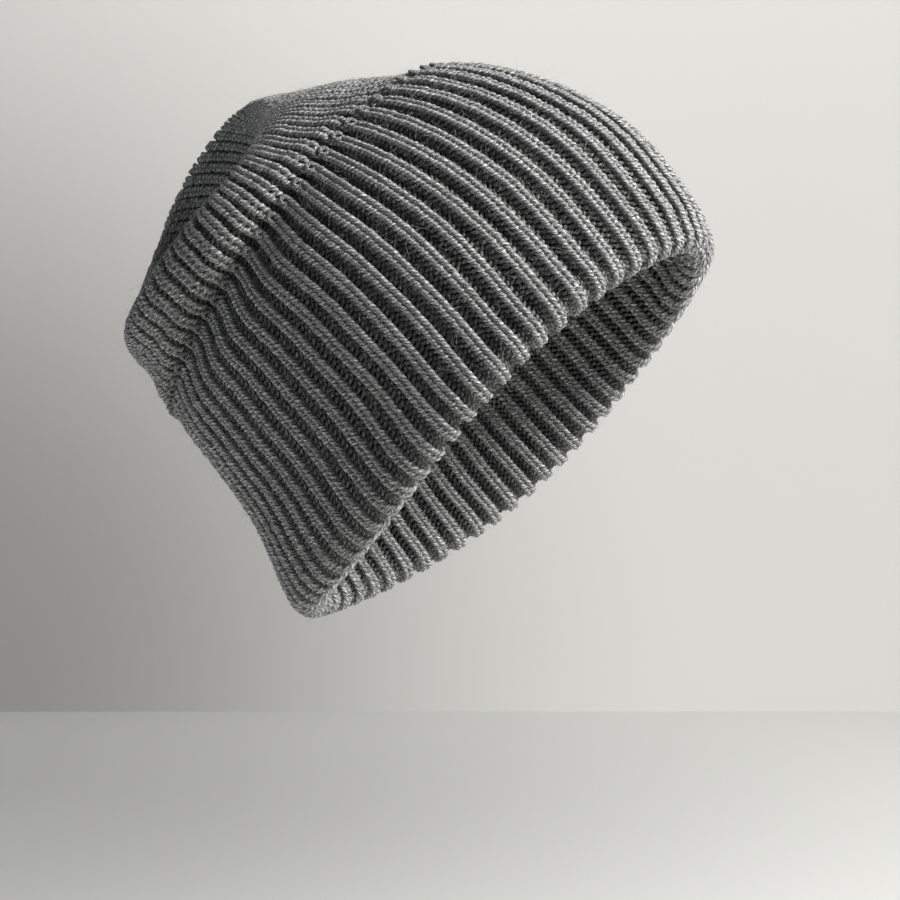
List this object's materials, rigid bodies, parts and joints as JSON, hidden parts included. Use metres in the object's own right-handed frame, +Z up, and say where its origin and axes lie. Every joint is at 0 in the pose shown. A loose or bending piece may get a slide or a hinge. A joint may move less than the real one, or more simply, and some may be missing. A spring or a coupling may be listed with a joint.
{
  "type": "knit beanie",
  "caption": "Soft double-layer rib-knit beanie shaped as worn: tube body, folded brim edge, slouched crown drawn in at the middle, open head cavity.",
  "frame": {"origin": "centre of the head opening, in the plane of the brim's folded edge", "axes": "+Z up as worn, -Y to the front of the head, -X to the wearer's right"},
  "size_m": [0.18, 0.2516, 0.2157],
  "materials": {
    "knit_outer": "grey marl wool, ribbed, softly fuzzy",
    "knit_lining": "grey marl wool, ribbed, softly fuzzy",
    "drawn_yarn": "plied grey marl yarn"
  },
  "bodies": {
    "root": {"outer_body": "knit_outer", "outer_crown": "knit_outer", "brim_fold": "knit_outer", "lining_body": "knit_lining", "lining_crown": "knit_lining", "outer_gather": "drawn_yarn", "lining_gather": "drawn_yarn", "crown_tack": "drawn_yarn"}
  },
  "joints": []
}
